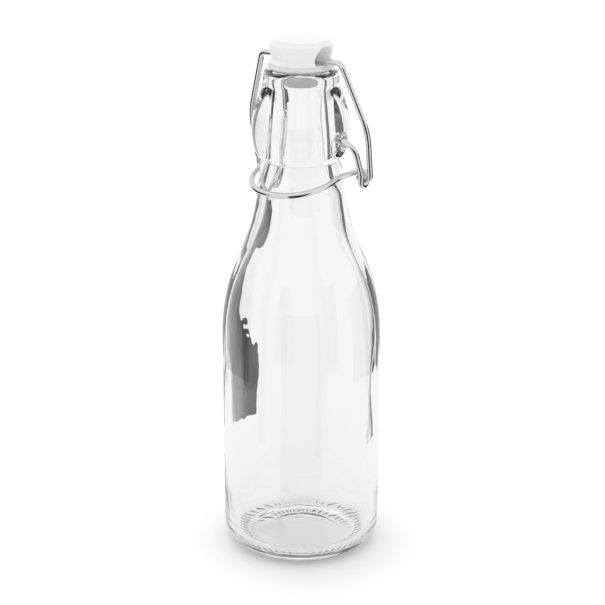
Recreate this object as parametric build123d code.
from build123d import *
from math import asin, cos, hypot, radians, sin, tan
import os

# A small swing-top bottle of clear glass: the bottle, a plastic stopper with a soft sealing ring,
# and two bent wires. The bail passes through the stopper, and the lever turns in two dimples in
# the glass and holds the bail's hooked ends in its eye loops.
# Origin on the bottle's axis at its resting plane, +Z up, lever pivot along X, bow in front at -Y.
# All sizes in millimetres.

# ---- bottle, outside ----
body_r = 30.0
heel_radial = 9.2           # the heel is a quarter ellipse, this wide
heel_height = 8.4
shoulder_z = 84.5           # top of the straight body
shoulder_convex_r = 80.0
shoulder_slope = 24.8       # steepest slope of the shoulder, degrees from the axis
shoulder_concave_r = 73.6
neck_slope = 7.4            # the neck's taper, degrees from the axis
neck_top_z = 153.6          # where the neck meets the finish

# ---- bottle, the thick finish round the mouth ----
finish_top_z = 186.3
finish_r = 18.2             # largest radius of the barrel
finish_r_z = 164.0
barrel_lower_r = 24.0
barrel_upper_r = 28.0
barrel_slope = 17.5         # taper of the barrel's upper part, degrees
finish_foot_z = 154.9
foot_round = 1.7
crease_round = 0.85
lip_r = 13.9
rim_round = 2.2
lip_foot_round = 5.0
mouth_round = 1.2

# ---- bottle, inside ----
wall = 3.0
bore_r = 8.0
bore_straight_z = 172.0     # the bore is straight from here up
throat_r = 9.4              # the bore opens out to this at the foot of the finish
throat_z = 151.0
floor_z = 4.4               # inside of the bottom, at the heel
floor_rise = 1.2            # it is domed by this much in the middle
inner_heel = 5.0
push_up = 2.6               # depth of the hollow under the bottom
push_up_r = 19.2

# ---- dimples for the lever's ends ----
dimple_depth_x = 15.1       # distance of a dimple's bottom from the axis
dimple_bottom_r = 3.6
dimple_mouth_r = 4.7
dimple_mouth_x = 19.0
dimple_below_pivot = 1.9    # the wire bears near the top of the dimple

# ---- wires ----
wire_r = 1.1
pivot_z = 162.5             # lever pivot, on the bottle's axis
eye_y = 7.2                 # eye loops hang behind the pivot
eye_z = 147.7
stopper_pin_z = 190.5       # bail wire through the stopper

lever_tip_x = 15.8
lever_knee_x = 23.8
lever_knee_r = 6.0
eye_r = 2.5                 # centre line of an eye loop
eye_bend = 2.35
eye_close_bend = 2.1
eye_lean = 0.1              # the loop's rear run leans in by this much
eye_step = 0.6              # and its foot steps in by this much more
eye_inner_x = 22.0          # where the loop passes beside itself and becomes the bow
bow_slope = 14.5            # the bow slopes down to the front, degrees
bow_half_width = 16.8
bow_front_y = -18.4
bow_corner_r = 16.1
bow_flare_y = 0.2
bow_flare_r = 10.0

bail_tip_x = 20.4
bail_foot_x = 26.2
bail_knee_x = 27.0
bail_knee_z = 166.0
bail_top_x = 18.0
bail_hook_r = 1.9
bail_knee_r = 26.0
bail_top_r = 2.8

# ---- stopper ----
pin_clearance = 0.15
cap_bottom_z = 188.7
cap_waist_z = 190.4
cap_waist_r = 10.75
cap_r = 11.6
cap_top_z = 197.4
cap_edge = 1.4
cap_lean = 0.2              # the waist runs outward by this much per unit of depth
dish_r = 9.2
dish_depth = 0.7
dish_edge = 0.8
groove_r = 4.4
bulb_r = 6.2
bulb_top_z = 184.1
bulb_bottom_z = 180.3
bulb_round = 1.6
scoop_start_x = 5.0         # a cone-shaped scoop gives the wire room on each side
scoop_mouth_x = 12.4
scoop_mouth_r = 6.3
scoop_floor_z = 189.1
scoop_edge = 0.4

# ---- sealing ring ----
ring_r = 12.15
ring_nose_r = 6.6
ring_neck_r = 7.2
ring_nose_z = 184.2
ring_seat_outer_r = 10.6
ring_edge_low_z = 187.4
ring_edge_high_z = 188.1
ring_top_r = 11.5


def wire(points, radii):
    """A round wire along straight runs joined by bends of the given radii."""
    path = FilletPolyline(*points, radius=radii)
    start = Plane(origin=path @ 0, z_dir=path % 0)
    return sweep(start * Circle(wire_r), path=path)


def turned(face):
    """A solid of revolution about Z from a closed outline drawn in the XZ plane."""
    return revolve(Plane.XZ * face, axis=Axis.Z)


# Junctions of the outside outline, as (radius, height).
slope = radians(shoulder_slope)
taper = radians(neck_slope)
shoulder_start = (body_r, shoulder_z)
shoulder_turn = (
    body_r - shoulder_convex_r * (1 - cos(slope)),
    shoulder_z + shoulder_convex_r * sin(slope),
)
neck_start = (
    shoulder_turn[0] - shoulder_concave_r * (cos(taper) - cos(slope)),
    shoulder_turn[1] + shoulder_concave_r * (sin(slope) - sin(taper)),
)
neck_end = (neck_start[0] - (neck_top_z - neck_start[1]) * tan(taper), neck_top_z)
barrel_tilt = radians(barrel_slope)
barrel_turn = (
    finish_r - barrel_upper_r * (1 - cos(barrel_tilt)),
    finish_r_z + barrel_upper_r * sin(barrel_tilt),
)
lip_foot = (lip_r, barrel_turn[1] + (barrel_turn[0] - lip_r) / tan(barrel_tilt))
rim_outer = (lip_r, finish_top_z)
barrel_low_sweep = asin((finish_r_z - finish_foot_z) / barrel_lower_r)
barrel_low = (finish_r - barrel_lower_r * (1 - cos(barrel_low_sweep)), finish_foot_z)


def arc_between(start, end, radius, bulge_outward):
    """An arc of the given radius whose bulge points away from the axis, or towards it."""
    length = hypot(end[0] - start[0], end[1] - start[1])
    sagitta = radius - (radius**2 - (length / 2) ** 2) ** 0.5
    across = (end[1] - start[1]) / length, (start[0] - end[0]) / length
    side = 1 if bulge_outward else -1
    middle = (
        (start[0] + end[0]) / 2 + side * sagitta * across[0],
        (start[1] + end[1]) / 2 + side * sagitta * across[1],
    )
    return ThreePointArc(start, middle, end)


def bottle_outside():
    heel_start = (body_r - heel_radial, 0)
    heel_end = (body_r, heel_height)
    heel_middle = (
        body_r - heel_radial * (1 - sin(radians(45))),
        heel_height * (1 - cos(radians(45))),
    )
    outline = Curve() + [
        Line((0, 0), heel_start),
        Spline(heel_start, heel_middle, heel_end, tangents=[(1, 0), (0, 1)]),
        Line(heel_end, shoulder_start),
        arc_between(shoulder_start, shoulder_turn, shoulder_convex_r, True),
        arc_between(shoulder_turn, neck_start, shoulder_concave_r, False),
        Line(neck_start, neck_end),
        Line(neck_end, barrel_low),
        arc_between(barrel_low, (finish_r, finish_r_z), barrel_lower_r, True),
        arc_between((finish_r, finish_r_z), barrel_turn, barrel_upper_r, True),
        Line(barrel_turn, lip_foot),
        Line(lip_foot, rim_outer),
        Line(rim_outer, (0, finish_top_z)),
        Line((0, finish_top_z), (0, 0)),
    ]
    face = make_face(outline)
    foot = face.vertices().sort_by_distance((*barrel_low, 0))[0]
    face = fillet(foot, foot_round)
    rim = face.vertices().sort_by_distance((*rim_outer, 0))[0]
    face = fillet(rim, rim_round)
    lip = face.vertices().sort_by_distance((*lip_foot, 0))[0]
    face = fillet(lip, lip_foot_round)
    crease = face.vertices().sort_by_distance((*neck_end, 0))[0]
    return turned(fillet(crease, crease_round))


def bottle_inside():
    inner_r = body_r - wall
    turn_in = (shoulder_turn[0] - wall * cos(slope), shoulder_turn[1] - wall * sin(slope))
    neck_in = (neck_start[0] - wall * cos(taper), neck_start[1] - wall * sin(taper))
    outline = Curve() + [
        ThreePointArc(
            (0, floor_z + floor_rise),
            ((inner_r - inner_heel) / 2, floor_z + 0.75 * floor_rise),
            (inner_r - inner_heel, floor_z),
        ),
        arc_between((inner_r - inner_heel, floor_z), (inner_r, floor_z + inner_heel), inner_heel, True),
        Line((inner_r, floor_z + inner_heel), (inner_r, shoulder_z)),
        arc_between((inner_r, shoulder_z), turn_in, shoulder_convex_r - wall, True),
        arc_between(turn_in, neck_in, shoulder_concave_r + wall, False),
        Spline(
            neck_in,
            (throat_r, throat_z),
            (bore_r, bore_straight_z),
            tangents=[(-sin(taper), cos(taper)), (0, 1)],
        ),
        Line((bore_r, bore_straight_z), (bore_r, finish_top_z)),
        Line((bore_r, finish_top_z), (0, finish_top_z)),
        Line((0, finish_top_z), (0, floor_z + floor_rise)),
    ]
    return turned(make_face(outline))


def dimple(side):
    length = dimple_mouth_x - dimple_depth_x
    cone = Cone(dimple_bottom_r, dimple_mouth_r, length, align=(Align.CENTER, Align.CENTER, Align.MIN))
    floor = Plane(
        origin=(side * dimple_depth_x, 0, pivot_z - dimple_below_pivot),
        z_dir=(side, 0, 0),
    )
    return floor * cone


def make_bottle():
    glass = bottle_outside() - bottle_inside()
    mouth = glass.edges().filter_by(GeomType.CIRCLE).group_by(Axis.Z)[-1].sort_by(SortBy.RADIUS)[0]
    glass = glass.fillet(mouth_round, [mouth])
    ball_r = (push_up_r**2 + push_up**2) / (2 * push_up)
    glass -= Pos(0, 0, push_up - ball_r) * Sphere(ball_r)
    return glass - dimple(1) - dimple(-1)


def make_stopper():
    outline = Curve() + [
        Line((0, cap_top_z), (cap_r - cap_edge, cap_top_z)),
        arc_between((cap_r - cap_edge, cap_top_z), (cap_r, cap_top_z - cap_edge), cap_edge, True),
        Spline(
            (cap_r, cap_top_z - cap_edge),
            (cap_waist_r, cap_waist_z),
            tangents=[(0, -1), (-cap_lean, -1)],
        ),
        Polyline(
            (cap_waist_r, cap_waist_z),
            (ring_top_r, scoop_floor_z),
            (ring_top_r, cap_bottom_z),
            (groove_r, cap_bottom_z),
            (groove_r, bulb_top_z),
            (bulb_r, bulb_top_z),
            (bulb_r, bulb_bottom_z + bulb_round),
        ),
        arc_between(
            (bulb_r - bulb_round, bulb_bottom_z), (bulb_r, bulb_bottom_z + bulb_round), bulb_round, True
        ),
        Line((bulb_r - bulb_round, bulb_bottom_z), (0, bulb_bottom_z)),
        Line((0, bulb_bottom_z), (0, cap_top_z)),
    ]
    cap = turned(make_face(outline))
    dish_ball_r = (dish_r**2 + dish_depth**2) / (2 * dish_depth)
    cap -= Pos(0, 0, cap_top_z - dish_depth + dish_ball_r) * Sphere(dish_ball_r)
    dish_rim = cap.edges().filter_by(GeomType.CIRCLE).group_by(Axis.Z)[-1].sort_by(SortBy.RADIUS)[0]
    cap = cap.fillet(dish_edge, [dish_rim])
    across = 4 * cap_r
    cap -= Pos(0, 0, stopper_pin_z) * Rot(0, 90, 0) * Cylinder(wire_r + pin_clearance, across)
    for side in (1, -1):
        start = Plane(origin=(side * scoop_start_x, 0, stopper_pin_z), z_dir=(side, 0, 0))
        scoop = start * Cone(
            wire_r + pin_clearance,
            scoop_mouth_r,
            scoop_mouth_x - scoop_start_x,
            align=(Align.CENTER, Align.CENTER, Align.MIN),
        )
        room = Pos(0, 0, scoop_floor_z) * Box(
            across, across, across, align=(Align.CENTER, Align.CENTER, Align.MIN)
        )
        cap -= scoop & room
    lips = [
        edge
        for edge in cap.edges().filter_by(GeomType.BSPLINE)
        if cap_waist_z < edge.center().Z < cap_top_z - dish_depth
    ]
    return cap.fillet(scoop_edge, lips)


def make_gasket():
    return turned(
        make_face(
            Polyline(
                (groove_r, ring_nose_z),
                (ring_nose_r, ring_nose_z),
                (ring_neck_r, finish_top_z),
                (ring_seat_outer_r, finish_top_z),
                (ring_r, ring_edge_low_z),
                (ring_r, ring_edge_high_z),
                (ring_top_r, cap_bottom_z),
                (groove_r, cap_bottom_z),
                close=True,
            )
        )
    )


def make_lever():
    drop = tan(radians(bow_slope))

    def on_bow(x, y):
        return (x, y, eye_z + eye_r - drop * (eye_y - y))

    half = [
        (lever_tip_x, 0, pivot_z),
        (lever_knee_x, 0, pivot_z),
        (lever_knee_x, eye_y - eye_r, eye_z + eye_r),
        (lever_knee_x - eye_lean, eye_y - eye_r, eye_z - eye_r),
        (lever_knee_x - eye_lean - eye_step, eye_y + eye_r, eye_z - eye_r),
        on_bow(eye_inner_x, eye_y + eye_r),
        on_bow(bow_half_width, bow_flare_y),
        on_bow(bow_half_width, bow_front_y),
    ]
    radii = [lever_knee_r, eye_r, eye_bend, eye_bend, eye_close_bend, bow_flare_r, bow_corner_r]
    other = [(-x, y, z) for x, y, z in reversed(half)]
    return wire(half + other, radii + radii[::-1])


def make_bail():
    def in_bail(x, z):
        return (x, eye_y * (stopper_pin_z - z) / (stopper_pin_z - eye_z), z)

    half = [
        in_bail(bail_tip_x, eye_z),
        in_bail(bail_foot_x, eye_z),
        in_bail(bail_knee_x, bail_knee_z),
        in_bail(bail_top_x, stopper_pin_z),
    ]
    radii = [bail_hook_r, bail_knee_r, bail_top_r]
    other = [(-x, y, z) for x, y, z in reversed(half)]
    return wire(half + other, radii + radii[::-1])


pieces = {
    "bottle": make_bottle,
    "stopper": make_stopper,
    "gasket": make_gasket,
    "lever": make_lever,
    "bail": make_bail,
}

os.makedirs("parts", exist_ok=True)
for name, make in pieces.items():
    piece = make()
    piece.label = name
    export_step(piece, f"parts/{name}.step")
    print(name, "volume", round(piece.volume), "mm3")
print("filled to the brim:", round(bottle_inside().volume / 1000), "ml")
